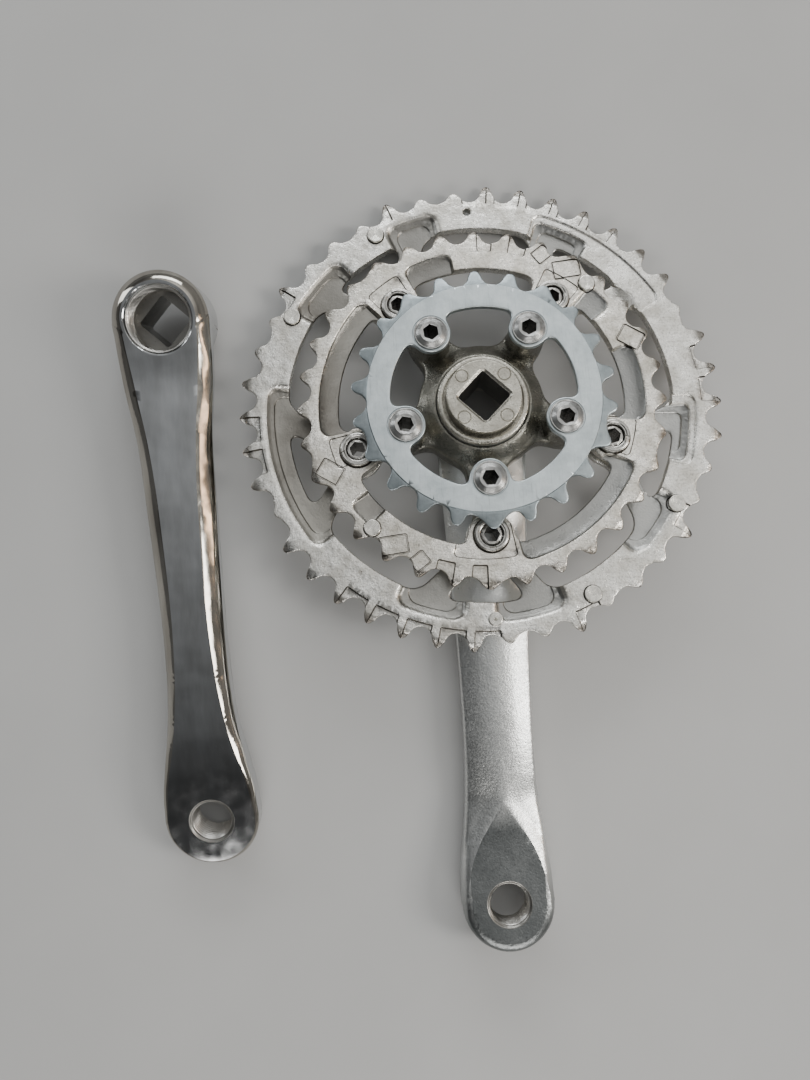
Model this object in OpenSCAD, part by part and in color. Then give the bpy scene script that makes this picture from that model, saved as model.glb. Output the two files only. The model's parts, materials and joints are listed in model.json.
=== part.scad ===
// Square-taper triple crankset: drive-side crank with three chainrings, and the left crank arm
// lying beside it. Millimetres. +Z is the spindle axis, pointing inboard (up as the set lies).
// The drive arm runs along -Y. The origin is the mouth of the drive extractor thread.

/* [Crank arms] */
// Crank length, spindle centre to pedal centre
arm_length = 175; // [165:2.5:180]
// Boss height along the spindle
boss_height = 28; // [26:0.5:32]
// Radius of the machined disc at the boss's inboard end
boss_disc_r = 13.1; // [12.8:0.1:14]
// Radius of the boss where the spider is pressed on
boss_r = 16.2; // [15.8:0.1:17]
// Radius of the eye around the pedal hole
eye_r = 16.4; // [15:0.1:17.5]
// Thickness of the arm at the pedal eye
eye_thickness = 13; // [12:0.5:14]
// How far the eye's inboard face lies outboard of the boss's inboard face
eye_offset = 35.1; // [33:0.1:38]
// Half width of the drive arm at its narrowest
drive_waist = 12.4; // [11.5:0.1:13.5]
// Half width of the left arm at its narrowest
left_waist = 10.8; // [10:0.1:12]
// Inboard height of the drive arm beside its boss, under the spider
drive_root_z = 7.9; // [7:0.1:7.9]
// Inboard height of the left arm beside its boss
left_root_z = 13; // [8:0.5:15]

/* [Holes and threads] */
// Extractor thread radius, M22 x 1
extractor_r = 11; // [10.9:0.05:11.1]
// Depth of the extractor thread
extractor_depth = 10; // [8:0.5:11]
// Crank bolt clearance radius behind the extractor thread
bolt_seat_r = 7.4; // [7.2:0.1:8]
// Square taper width across flats at the inboard mouth
taper_flats = 13.1; // [12.8:0.1:13.4]
// Square taper width across its turned corners at the mouth
taper_corners = 17.7; // [17.4:0.1:18]
// Pedal thread radius, 9/16 inch
pedal_r = 7.14; // [7.1:0.01:7.2]

/* [Chainrings] */
// Teeth on the outer ring
big_teeth = 42; // [42:1:42]
// Teeth on the middle ring
middle_teeth = 32; // [32:1:32]
// Teeth on the inner ring
small_teeth = 22; // [22:1:22]
// Chain pitch
pitch = 12.7; // [12.7:0.1:12.7]
// Radius of the roller seats
roller_r = 3.97; // [3.9:0.01:4.05]
// Height of the outer ring's inboard face above the origin
big_face_z = 13; // [12.8:0.1:13.2]
// Height of the middle ring's inboard face
middle_face_z = 19; // [18.9:0.1:19.4]
// Height of the inner ring's inboard face
small_face_z = 28; // [27.9:0.1:28.2]
// Thickness of the outer ring's body
big_body_t = 3.6; // [3.4:0.1:3.8]
// Thickness of the middle ring's body
middle_body_t = 3.8; // [3.7:0.1:3.9]
// Thickness of the inner ring's plate
small_body_t = 2.5; // [2.3:0.1:2.7]
// Thickness of the tooth rows
tooth_t = 2.1; // [1.9:0.1:2.2]

/* [Spider and bolts] */
// Bolt circle radius of the two outer rings, 94 mm across
outer_bolt_circle_r = 47; // [47:0.1:47]
// Bolt circle radius of the inner ring, 58 mm across
inner_bolt_circle_r = 29; // [29:0.1:29]
// Width of a spider arm
spider_arm_w = 13; // [12:0.5:14]
// Radius of the ring bolt heads and sleeve nut flanges
ring_bolt_head_r = 6; // [5.8:0.1:6.2]
// Radius of the sleeve nuts
sleeve_r = 5; // [4.9:0.05:5.05]
// Radius of the bolt threads, M8
bolt_thread_r = 4; // [3.95:0.05:4]
// Hexagon key size
hex_key = 5; // [5:0.5:5]

/* [Left arm as it lies] */
// Sideways place of the left arm's boss from the spindle axis
left_x = -110.3; // [-125:0.1:-108]
// Place of the left arm's boss along the drive arm's direction
left_y = 28.6; // [10:0.1:40]
// Turn of the left arm about the vertical
left_yaw = 2.36; // [0:0.01:4]

/* [Hidden] */
$fn = 96;
eps = 0.01;
arm_count = 5;
arm_step = 360 / arm_count;
first_arm_angle = 54;
ring_fit = 0.05;            // radial clearance of sleeves and threads in their holes

// Crank heights, measured inboard from the boss's outer face
eye_in_z = boss_height - eye_offset;
eye_out_z = eye_in_z - eye_thickness;

// Where the outboard side of an arm bends to run level into the eye
knee_l = 145;
knee_z = eye_out_z + 0.6;
boss_foot_r = boss_r + 0.6; // radius of the boss's outer edge

// Chainring radii
function pitch_r(teeth) = pitch / 2 / sin(180 / teeth);
big_pitch_r = pitch_r(big_teeth);
middle_pitch_r = pitch_r(middle_teeth);
small_pitch_r = pitch_r(small_teeth);
big_tip_r = big_pitch_r + 2.2;
middle_tip_r = middle_pitch_r + 1.2;
small_tip_r = small_pitch_r + 1.5;
big_rim_r = 69.7;           // inner edge of the outer ring's rim
middle_rim_r = 50.9;        // inner edge of the middle ring's rim
small_window_r = 32.3;      // inner edge of the inner ring's rim

// Angle of each ring's first tooth
big_first_tooth = -1;
middle_first_tooth = 10.1;
small_first_tooth = 8.7;

// Turn of each tab's two legs from the tab to where they meet the rim
leg_spread = [-20, 14.6];

// Shift gates: tooth number and cut-down tip radius, repeated half a turn away
big_short_teeth = [[3, 83], [11, 84.4], [12, 84.4], [14, 83.4], [15, 84.6], [16, 84.3], [18, 84], [19, 85]];

// Shift pins as [radius, angle]
big_pins = [[77, 116.7], [77, 150], [77, 296.5], [77, 330]];
middle_pins = [[59, 46.5], [59, 226]];
drop_pin = [75.7, 270];
pin_stem_r = 1.9;

// Heights in the bolted stack
big_body_z = big_face_z - big_body_t;
middle_body_z = middle_face_z - middle_body_t;
small_body_z = small_face_z - small_body_t;
spider_pad_z = 12;          // outboard face of the spider's pads, in the outer ring's recess
spot_face_depth = 0.4;
bolt_head_t = 2.4;
nut_top_z = 21.1;
small_bolt_top_z = 29.2;
bolt_end_z = 20.3;

// The surface that the whole set lies on: it touches the drive arm's knee and its boss's far edge
rest_slope = atan(-knee_z / (knee_l + boss_foot_r));
rest_z0 = knee_z + knee_l * tan(rest_slope);
// The left arm leans on its boss's edge and on the far edge of its pedal eye
left_lean = atan(eye_offset / (arm_length + eye_r - boss_disc_r));

// ---- Helpers ----

module at_polar(r, angle) {
    rotate([0, 0, angle]) translate([r, 0, 0]) children();
}

module on_bolt_circle(r) {
    for (i = [0:arm_count - 1]) at_polar(r, first_arm_angle + i * arm_step) children();
}

module hex_hole(length) {
    cylinder(r = hex_key / 2 / cos(30), h = length, $fn = 6);
}

// ---- Crank arms ----

// Half plan outline as [distance from the spindle, half width], for a given waist
function arm_stations(waist) = [
    [0, boss_foot_r], [20, boss_r - 0.4], [40, waist + 2.6], [66, waist + 1.4],
    [90, waist + 0.5], [114, waist], [137, waist + 0.7], [154, eye_r - 1.8], [arm_length - 6, eye_r]
];

// Side outline as [distance from the spindle, height]: outboard side out, inboard side back
function arm_side(root_z) = [
    [-boss_r - 1, 0], [18, 0], [knee_l, knee_z], [152, eye_out_z],
    [arm_length + eye_r + 1, eye_out_z], [arm_length + eye_r + 1, eye_in_z], [arm_length - 13, eye_in_z],
    [140, -4.6], [90, 1.8], [60, 5], [44, 6.3 + 0.3 * (root_z - drive_root_z)],
    [30, 7.6 + 0.7 * (root_z - drive_root_z)], [boss_r + 1, root_z], [-boss_r - 1, root_z]
];

module arm_plan(waist) {
    side = arm_stations(waist);
    polygon(concat(
        [for (s = side) [s[1], -s[0]]],
        [for (i = [len(side) - 1:-1:0]) [-side[i][1], -side[i][0]]]
    ));
    circle(r = boss_foot_r);
    translate([0, -arm_length]) circle(r = eye_r);
}

module square_taper_hole() {
    taper_len = boss_height - extractor_depth - 1.5;
    outer_scale = 1 - 2 * tan(2) * taper_len / taper_flats;
    translate([0, 0, boss_height + eps])
        mirror([0, 0, 1])
            linear_extrude(height = taper_len, scale = outer_scale)
                intersection() {
                    rotate(45) square(taper_flats, center = true);
                    circle(r = taper_corners / 2, $fn = 48);
                }
}

// A crank arm with its boss's outer face at z = 0 and inboard up
module crank_arm(waist, root_z) {
    difference() {
        union() {
            intersection() {
                translate([0, 0, eye_out_z - 1]) linear_extrude(height = 60) arm_plan(waist);
                rotate([90, 0, -90])
                    translate([0, 0, -40]) linear_extrude(height = 80) polygon(arm_side(root_z));
            }
            cylinder(r = boss_r, h = boss_height - 4);
            cylinder(r = boss_disc_r, h = boss_height);
        }
        translate([0, 0, -eps]) cylinder(r = extractor_r, h = extractor_depth + eps);
        translate([0, 0, extractor_depth - eps]) cylinder(r = bolt_seat_r, h = 2);
        square_taper_hole();
        translate([0, -arm_length, eye_out_z - 1]) cylinder(r = pedal_r, h = eye_thickness + 2);
    }
}

module drive_crank_arm() {
    color([0.70, 0.71, 0.71]) crank_arm(drive_waist, drive_root_z);
}

module left_crank_arm() {
    color([0.80, 0.80, 0.79])
        translate([left_x, 0, rest_z0])
            rotate([rest_slope, 0, 0])
                translate([0, left_y, 0])
                    rotate([0, 0, left_yaw])
                        rotate([left_lean, 0, 0])
                            translate([0, boss_disc_r, boss_height])
                                mirror([0, 0, 1])
                                    crank_arm(left_waist, left_root_z);
}

// ---- Spider ----

// Radial outline of one spider arm as [radius, height]
spider_profile = [
    [boss_r - 2, 9], [30, 10], [38, spider_pad_z], [54.5, spider_pad_z],
    [54.5, middle_body_z], [38, middle_body_z], [36.2, middle_body_z + 2.5], [36, small_body_z],
    [22.5, small_body_z], [21.5, 21], [boss_r - 2, 20.8]
];

// Outline of the hub that grips the boss, as [radius, height]
spider_hub_profile = [
    [boss_r, 8], [21, 8], [24, 12], [23, 17.5], [19.5, 20], [boss_r, 21.6]
];

module spider_arm() {
    rotate([90, 0, 0])
        translate([0, 0, -spider_arm_w / 2]) linear_extrude(height = spider_arm_w) polygon(spider_profile);
}

module spider() {
    color([0.32, 0.31, 0.29]) {
        difference() {
            on_bolt_circle(0) spider_arm();
            translate([0, 0, 7]) cylinder(r = boss_r + 1, h = 20);
            on_bolt_circle(outer_bolt_circle_r)
                translate([0, 0, 8]) cylinder(r = sleeve_r + ring_fit, h = 10);
            on_bolt_circle(inner_bolt_circle_r)
                translate([0, 0, 14]) cylinder(r = bolt_thread_r, h = 14);
        }
        rotate_extrude() polygon(spider_hub_profile);
    }
}

// ---- Chainrings ----

// One tapered tooth, from under the roller seats to its tip, pointing along +X
module tooth(seat_r, tip_r) {
    half_pitch = pitch / 2;
    polygon([
        [seat_r - 3, -half_pitch], [tip_r, -1.1], [tip_r, 1.1], [seat_r - 3, half_pitch]
    ]);
}

// Toothed disc outline: short lists cut-down teeth, repeated half a turn away
module toothed_disc(teeth, first_angle, tip_r, short = []) {
    centre_r = pitch_r(teeth);
    difference() {
        union() {
            circle(r = centre_r - roller_r + 0.6);
            for (k = [0:teeth - 1]) {
                cuts = [for (s = short) if (s[0] == k || s[0] + teeth / 2 == k) s[1]];
                rotate(first_angle + k * 360 / teeth)
                    tooth(centre_r - roller_r, len(cuts) > 0 ? cuts[0] : tip_r);
            }
        }
        for (k = [0:teeth - 1])
            rotate(first_angle + (k + 0.5) * 360 / teeth)
                translate([centre_r, 0]) circle(r = roller_r);
    }
}

// Mounting tab on a bolt circle: a round pad with a neck running out to the rim
module ring_tab(circle_r, pad_r, reach_r) {
    on_bolt_circle(circle_r) circle(r = pad_r);
    on_bolt_circle(circle_r) translate([0, -pad_r]) square([reach_r - circle_r, 2 * pad_r]);
}

// Straight leg of the outer ring, from a bolt centre out to the rim, turned by spread degrees
module leg(angle, spread, w) {
    foot = outer_bolt_circle_r * [cos(angle), sin(angle)];
    head = (big_rim_r + 2) * [cos(angle + spread), sin(angle + spread)];
    run = head - foot;
    translate(foot)
        rotate(atan2(run[1], run[0]))
            translate([0, -w / 2]) square([norm(run), w]);
}

module big_chainring() {
    tab_r = 8.5;
    leg_w = 8;
    color([0.78, 0.77, 0.74])
        difference() {
            union() {
                translate([0, 0, big_face_z - tooth_t]) linear_extrude(height = tooth_t)
                    difference() {
                        toothed_disc(big_teeth, big_first_tooth, big_tip_r, big_short_teeth);
                        circle(r = big_rim_r);
                    }
                translate([0, 0, big_body_z]) linear_extrude(height = big_body_t)
                    difference() {
                        circle(r = big_pitch_r - roller_r - 1.2);
                        circle(r = big_rim_r);
                    }
                translate([0, 0, big_body_z]) linear_extrude(height = spider_pad_z - big_body_z) {
                    on_bolt_circle(outer_bolt_circle_r) circle(r = tab_r);
                    for (i = [0:arm_count - 1])
                        for (spread = leg_spread)
                            leg(first_arm_angle + i * arm_step, spread, leg_w);
                }
            }
            on_bolt_circle(outer_bolt_circle_r)
                translate([0, 0, big_body_z - 1]) cylinder(r = sleeve_r + ring_fit, h = 6);
            for (p = concat(big_pins, [drop_pin]))
                at_polar(p[0], p[1]) translate([0, 0, big_body_z - 1]) cylinder(r = pin_stem_r, h = 6);
        }
}

module middle_chainring() {
    tab_r = 8.2;
    color([0.80, 0.79, 0.75])
        difference() {
            union() {
                translate([0, 0, middle_face_z - tooth_t]) linear_extrude(height = tooth_t)
                    difference() {
                        toothed_disc(middle_teeth, middle_first_tooth, middle_tip_r);
                        circle(r = middle_rim_r);
                    }
                translate([0, 0, middle_body_z]) linear_extrude(height = middle_body_t)
                    difference() {
                        circle(r = middle_pitch_r - roller_r - 0.8);
                        circle(r = middle_rim_r);
                    }
                translate([0, 0, middle_body_z]) linear_extrude(height = middle_body_t)
                    ring_tab(outer_bolt_circle_r, tab_r, middle_rim_r + 3);
            }
            on_bolt_circle(outer_bolt_circle_r) {
                translate([0, 0, middle_body_z - 1]) cylinder(r = sleeve_r + ring_fit, h = 6);
                translate([0, 0, middle_face_z - spot_face_depth])
                    cylinder(r = ring_bolt_head_r + 0.5, h = 2);
            }
            for (p = middle_pins)
                at_polar(p[0], p[1]) translate([0, 0, middle_body_z - 1]) cylinder(r = pin_stem_r, h = 6);
        }
}

module small_chainring() {
    tab_r = 7;
    color([0.72, 0.77, 0.79])
        difference() {
            union() {
                translate([0, 0, small_body_z]) linear_extrude(height = small_body_t - 0.5)
                    difference() {
                        toothed_disc(small_teeth, small_first_tooth, small_tip_r);
                        circle(r = small_window_r);
                    }
                translate([0, 0, small_body_z]) linear_extrude(height = small_body_t)
                    difference() {
                        circle(r = small_pitch_r - roller_r - 0.3);
                        circle(r = small_window_r);
                    }
                translate([0, 0, small_body_z]) linear_extrude(height = small_body_t)
                    ring_tab(inner_bolt_circle_r, tab_r, small_window_r + 3);
            }
            on_bolt_circle(inner_bolt_circle_r)
                translate([0, 0, small_body_z - 1]) cylinder(r = bolt_thread_r + 0.1, h = 5);
        }
}

// ---- Fasteners ----

// Male bolt of a ring pair: head outboard, hexagon key hole right through
module ring_bolt(i) {
    color([0.78, 0.79, 0.80])
        at_polar(outer_bolt_circle_r, first_arm_angle + i * arm_step)
            difference() {
                union() {
                    translate([0, 0, big_body_z - bolt_head_t])
                        cylinder(r = ring_bolt_head_r, h = bolt_head_t);
                    translate([0, 0, big_body_z - eps])
                        cylinder(r = bolt_thread_r - ring_fit, h = bolt_end_z - big_body_z);
                }
                translate([0, 0, big_body_z - bolt_head_t - 1]) hex_hole(20);
            }
}

// Female sleeve nut: flange inboard, with two slots for a peg key
module ring_nut(i) {
    flange_z = middle_face_z - spot_face_depth;
    slot_w = 2.2;
    color([0.82, 0.82, 0.83])
        at_polar(outer_bolt_circle_r, first_arm_angle + i * arm_step)
            difference() {
                union() {
                    translate([0, 0, flange_z])
                        cylinder(r = ring_bolt_head_r, h = nut_top_z - flange_z);
                    translate([0, 0, big_body_z + 0.6])
                        cylinder(r = sleeve_r, h = flange_z - big_body_z - 0.5);
                }
                translate([0, 0, big_body_z]) cylinder(r = bolt_thread_r, h = 20);
                translate([-ring_bolt_head_r - 1, -slot_w / 2, nut_top_z - 1])
                    cube([2 * ring_bolt_head_r + 2, slot_w, 2]);
            }
}

// Bolt of the inner ring: turned flange with a coned head, screwed into the spider's post
module small_ring_bolt(i) {
    color([0.74, 0.76, 0.78])
        at_polar(inner_bolt_circle_r, first_arm_angle + i * arm_step)
            difference() {
                union() {
                    translate([0, 0, small_face_z]) cylinder(r = 5.9, h = 0.7);
                    translate([0, 0, small_face_z + 0.7])
                        cylinder(r1 = 5.4, r2 = 4, h = small_bolt_top_z - small_face_z - 0.7);
                    translate([0, 0, 15])
                        cylinder(r = bolt_thread_r - ring_fit, h = small_face_z - 15 + eps);
                }
                translate([0, 0, 12]) hex_hole(20);
            }
}

// ---- Pins ----

// Riveted shift pin standing up from a ring's inboard face
module shift_pin(place, body_z, face_z, head_r, head_h) {
    color([0.86, 0.86, 0.85])
        at_polar(place[0], place[1]) {
            translate([0, 0, body_z]) cylinder(r = pin_stem_r, h = face_z - body_z + eps);
            translate([0, 0, face_z]) cylinder(r = head_r, h = head_h);
        }
}

module big_ring_shift_pin(i) {
    shift_pin(big_pins[i], big_body_z, big_face_z, 3, 1.2);
}

module middle_ring_shift_pin(i) {
    shift_pin(middle_pins[i], middle_body_z, middle_face_z, 2.9, 1.1);
}

// Peg that keeps a dropped chain from wedging between the outer ring and the arm
module chain_drop_pin() {
    peg_z = 4.6;
    color([0.84, 0.84, 0.82])
        at_polar(drop_pin[0], drop_pin[1]) {
            translate([0, 0, peg_z]) cylinder(r = 2.6, h = big_body_z - peg_z);
            translate([0, 0, big_body_z - eps]) cylinder(r = pin_stem_r, h = big_body_t + 2 * eps);
            translate([0, 0, big_face_z]) cylinder(r = 2.5, h = 0.5);
        }
}

// ---- Assembly ----

drive_crank_arm();
spider();
big_chainring();
middle_chainring();
small_chainring();
for (i = [0:4]) {
    ring_bolt(i);
    ring_nut(i);
    small_ring_bolt(i);
}
for (i = [0:3])
    big_ring_shift_pin(i);
for (i = [0:1])
    middle_ring_shift_pin(i);
chain_drop_pin();
left_crank_arm();
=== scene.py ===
"""Looks of the crankset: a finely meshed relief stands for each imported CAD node, and thin
sleeves line the threaded holes.

Lengths in this script are millimetres in the part's own frame, unless a name says otherwise:
+Z is the spindle axis pointing inboard, and the drive arm runs along -Y.
"""

import json
import math

import bpy
import numpy as np
from mathutils import Matrix, Vector
from mathutils.geometry import delaunay_2d_cdt


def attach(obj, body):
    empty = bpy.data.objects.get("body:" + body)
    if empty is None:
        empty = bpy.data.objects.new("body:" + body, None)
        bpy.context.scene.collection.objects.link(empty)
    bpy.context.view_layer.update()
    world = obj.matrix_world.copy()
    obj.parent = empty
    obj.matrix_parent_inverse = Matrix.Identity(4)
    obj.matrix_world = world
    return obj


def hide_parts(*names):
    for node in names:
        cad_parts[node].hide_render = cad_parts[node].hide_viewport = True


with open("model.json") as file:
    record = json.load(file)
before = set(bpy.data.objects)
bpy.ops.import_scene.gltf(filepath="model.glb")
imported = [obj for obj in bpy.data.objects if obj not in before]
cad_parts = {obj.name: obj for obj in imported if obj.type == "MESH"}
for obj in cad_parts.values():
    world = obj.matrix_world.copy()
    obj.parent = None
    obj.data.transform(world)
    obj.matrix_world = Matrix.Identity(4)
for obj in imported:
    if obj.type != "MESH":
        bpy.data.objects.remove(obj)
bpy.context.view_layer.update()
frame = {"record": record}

MM = 0.001

# ---- Sizes shared with the CAD design ----

ARM_LENGTH = 175
BOSS_HEIGHT = 28
BOSS_R = 16.2
BOSS_FOOT_R = 16.8
BOSS_DISC_R = 13.1
BOSS_GROOVE_R = 14.1
EYE_R = 16.4
EYE_IN_Z = -7.1
EYE_OUT_Z = -20.1
KNEE_L = 145
KNEE_Z = -19.5
PEDAL_R = 7.14
EXTRACTOR_R = 11
EXTRACTOR_DEPTH = 10
TAPER_FLATS = 13.1
TAPER_ROUND = 1.0

PITCH = 12.7
ROLLER_R = 3.97
TOOTH_T = 2.1
BIG_FACE_Z = 13
BIG_BODY_Z = 9.4
MIDDLE_FACE_Z = 19
MIDDLE_BODY_Z = 15.2
SMALL_FACE_Z = 28
SMALL_BODY_Z = 25.5
SPIDER_PAD_Z = 12
BOLT_CIRCLE_R = 47
SMALL_BOLT_CIRCLE_R = 29
ARM_ANGLES = [54 + 72 * i for i in range(5)]

HEAD_R = 6
SLEEVE_R = 5
SLEEVE_BORE_R = 4
SHAFT_R = 3.95
NUT_TOP_Z = 21.1
BOLT_END_Z = 20.3
HEX_KEY = 5
SMALL_HEAD_R = 5.9
SMALL_POST_R = 6.2
BIG_PIN_R, BIG_PIN_H = 3.0, 1.2
MIDDLE_PIN_R, MIDDLE_PIN_H = 2.9, 1.1
DROP_PIN_R = 2.6

# Widths of walls that are meant to look upright: on the large pieces, and on the small ones
STEEP = 0.14
SHARP = 0.1


# ---- Fields: signed distances, below zero inside ----

def smooth(t):
    t = np.clip(t, 0, 1)
    return t * t * (3 - 2 * t)


def within(r, edge, wall):
    """One inside an edge and zero outside it, with a smooth wall between."""
    return smooth(0.5 - (r - edge) / wall)


def mix(a, b, t):
    return a + (b - a) * t


def joined(a, b, fillet):
    """Union of two fields, with a fillet where they meet."""
    h = np.clip(0.5 + 0.5 * (b - a) / fillet, 0, 1)
    return mix(b, a, h) - fillet * h * (1 - h)


def overlap(a, b, corner):
    """Intersection of two fields, with its corners rounded."""
    return -joined(-a, -b, corner)


def polar(radius, degrees):
    return radius * math.cos(math.radians(degrees)), radius * math.sin(math.radians(degrees))


def disc(x, y, centre, radius):
    return np.hypot(x - centre[0], y - centre[1]) - radius


def capsule(x, y, start, end, half_w):
    run = np.subtract(end, start)
    t = np.clip(((x - start[0]) * run[0] + (y - start[1]) * run[1]) / np.dot(run, run), 0, 1)
    return np.hypot(x - start[0] - t * run[0], y - start[1] - t * run[1]) - half_w


def rounded(u, v, corner):
    """Field of a rounded corner, from the distances past the straight part of two sides."""
    return np.hypot(np.maximum(u, 0), np.maximum(v, 0)) + np.minimum(np.maximum(u, v), 0) - corner


def turned_box(x, y, centre, degrees, half_l, half_w, corner):
    c, s = math.cos(math.radians(degrees)), math.sin(math.radians(degrees))
    u = np.abs((x - centre[0]) * c + (y - centre[1]) * s) - half_l + corner
    v = np.abs((y - centre[1]) * c - (x - centre[0]) * s) - half_w + corner
    return rounded(u, v, corner)


def bent_box(x, y, inner_r, outer_r, start, end, corner):
    """Stretch of a ring between two radii and two angles, with rounded corners."""
    mid_r, half_w = (inner_r + outer_r) / 2, (outer_r - inner_r) / 2
    turn = (np.degrees(np.arctan2(y, x)) - (start + end) / 2 + 180) % 360 - 180
    u = np.radians(np.abs(turn) - (end - start) / 2) * mid_r + corner
    v = np.abs(np.hypot(x, y) - mid_r) - half_w + corner
    return rounded(u, v, corner)


def hexagon(x, y, across):
    d = [x * math.cos(math.radians(a)) + y * math.sin(math.radians(a)) for a in (0, 60, 120)]
    return np.maximum.reduce(np.abs(d)) - across / 2


def square_taper(x, y):
    """The square hole, its rounded corners in line with the arm."""
    half = TAPER_FLATS / 2 - TAPER_ROUND
    u = np.abs(x + y) / math.sqrt(2) - half
    v = np.abs(y - x) / math.sqrt(2) - half
    return rounded(u, v, TAPER_ROUND)


def drilled(field, x, y, circle_r, radius):
    """A field with five round holes on a bolt circle."""
    for angle in ARM_ANGLES:
        field = np.maximum(field, -disc(x, y, polar(circle_r, angle), radius))
    return field


def rolled(d, radius):
    """How far a rounded edge has dropped at a distance d inside the outline."""
    back = np.clip(radius - d, 0, radius)
    return radius - np.sqrt(radius * radius - back * back)


class Cut:
    """A sunk area: the field of its outline, its depth and the width of its wall."""

    def __init__(self, field, depth, wall=STEEP):
        self.field, self.depth, self.wall = field, depth, wall
        self.levels = wall_levels(wall)

    def drop(self, x, y):
        return self.depth * smooth(0.5 - self.field(x, y) / self.wall)


class Groove(Cut):
    """A narrow groove along an outline."""

    def __init__(self, field, depth, half_w, wall=0.2):
        super().__init__(field, depth, wall)
        self.half_w = half_w
        self.levels = [side * half_w + step for side in (-1, 1) for step in (-wall / 2, wall / 2)]

    def drop(self, x, y):
        return self.depth * smooth(0.5 - (np.abs(self.field(x, y)) - self.half_w) / self.wall)


# A ledge's distance inside its bowl: in degrees at the ends, in millimetres at the outer side
LEDGE_TURN = 2.2
LEDGE_W = 2.6


class Bowl(Cut):
    """A sunk stretch of a ring, hollowed out toward the middle of the ring down to its deepest."""

    def __init__(self, start, end, outer_r, slope, step=0.3, corner=3.2, wall=2.2, deepest=2.2, inner_r=56):
        super().__init__(lambda x, y: bent_box(x, y, inner_r, outer_r, start, end, corner), step, wall)
        self.start, self.end, self.corner, self.inner_r = start, end, corner, inner_r
        self.outer_r, self.slope, self.deepest = outer_r, slope, deepest

    def ledge(self):
        """A shallow second step inside the bowl's rim."""
        start, end, outer_r = self.start + LEDGE_TURN, self.end - LEDGE_TURN, self.outer_r - LEDGE_W
        return Cut(lambda x, y: bent_box(x, y, self.inner_r, outer_r, start, end, self.corner), 0.35, 0.5)

    def drop(self, x, y):
        more = self.deepest - self.depth
        inward = np.maximum(self.outer_r - np.hypot(x, y), 0)
        depth = self.depth + more * (1 - np.exp(-self.slope * inward / more))
        return depth * smooth(0.5 - self.field(x, y) / self.wall)


def wall_levels(wall):
    """Where a wall of this width gets mesh lines: more of them on a broad one."""
    if wall == 0:
        return [0]
    steps = (-0.5, 0.5) if wall < 0.45 else (-0.5, -0.25, 0, 0.25, 0.5)
    return [wall * step for step in steps]


def crease(field):
    """Mesh line along a field's outline, with nothing sunk."""
    return Cut(field, 0, 0)


def ring_cut(radius, wall=SHARP):
    """Mesh lines along a round step of a height function, with nothing sunk."""
    return Cut(lambda x, y: np.hypot(x, y) - radius, 0, wall)


def on_circle(circle_r, radius, depth, wall=STEEP):
    """Five round cuts on a bolt circle."""
    return [Cut(lambda x, y, a=a: disc(x, y, polar(circle_r, a), radius), depth, wall) for a in ARM_ANGLES]


def carved(x, y, z, cuts):
    for cut in cuts:
        z = z - cut.drop(x, y)
    return z


# ---- Relief meshes ----

# The least thickness that is left under a cut
THINNEST = 0.25
# Small shifts that keep the sampling grid off round coordinates, where a field is often exactly zero
GRID_SHIFT = (0.00037, 0.00053)


def level_lines(xs, ys, values, level):
    """Points and segments of the lines where a sampled field equals level."""
    v = values - level
    inside = v < 0
    hi, hj = np.nonzero(inside[:, 1:] != inside[:, :-1])
    vi, vj = np.nonzero(inside[1:, :] != inside[:-1, :])
    th = v[hi, hj] / (v[hi, hj] - v[hi, hj + 1])
    tv = v[vi, vj] / (v[vi, vj] - v[vi + 1, vj])
    across = np.column_stack([mix(xs[hj], xs[hj + 1], th), ys[hi]])
    along = np.column_stack([xs[vj], mix(ys[vi], ys[vi + 1], tv)])
    h_id = np.full((len(ys), len(xs) - 1), -1)
    v_id = np.full((len(ys) - 1, len(xs)), -1)
    h_id[hi, hj] = np.arange(len(hi))
    v_id[vi, vj] = len(hi) + np.arange(len(vi))
    sides = np.stack([h_id[:-1], v_id[:, 1:], h_id[1:], v_id[:, :-1]], -1).reshape(-1, 4)
    crossed = (sides >= 0).sum(1)
    pairs = [np.sort(sides[crossed == 2], 1)[:, 2:]]
    saddles = sides[crossed == 4]
    pairs += [saddles[:, :2], saddles[:, 2:]]
    return np.vstack([across, along]), np.vstack(pairs)


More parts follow.
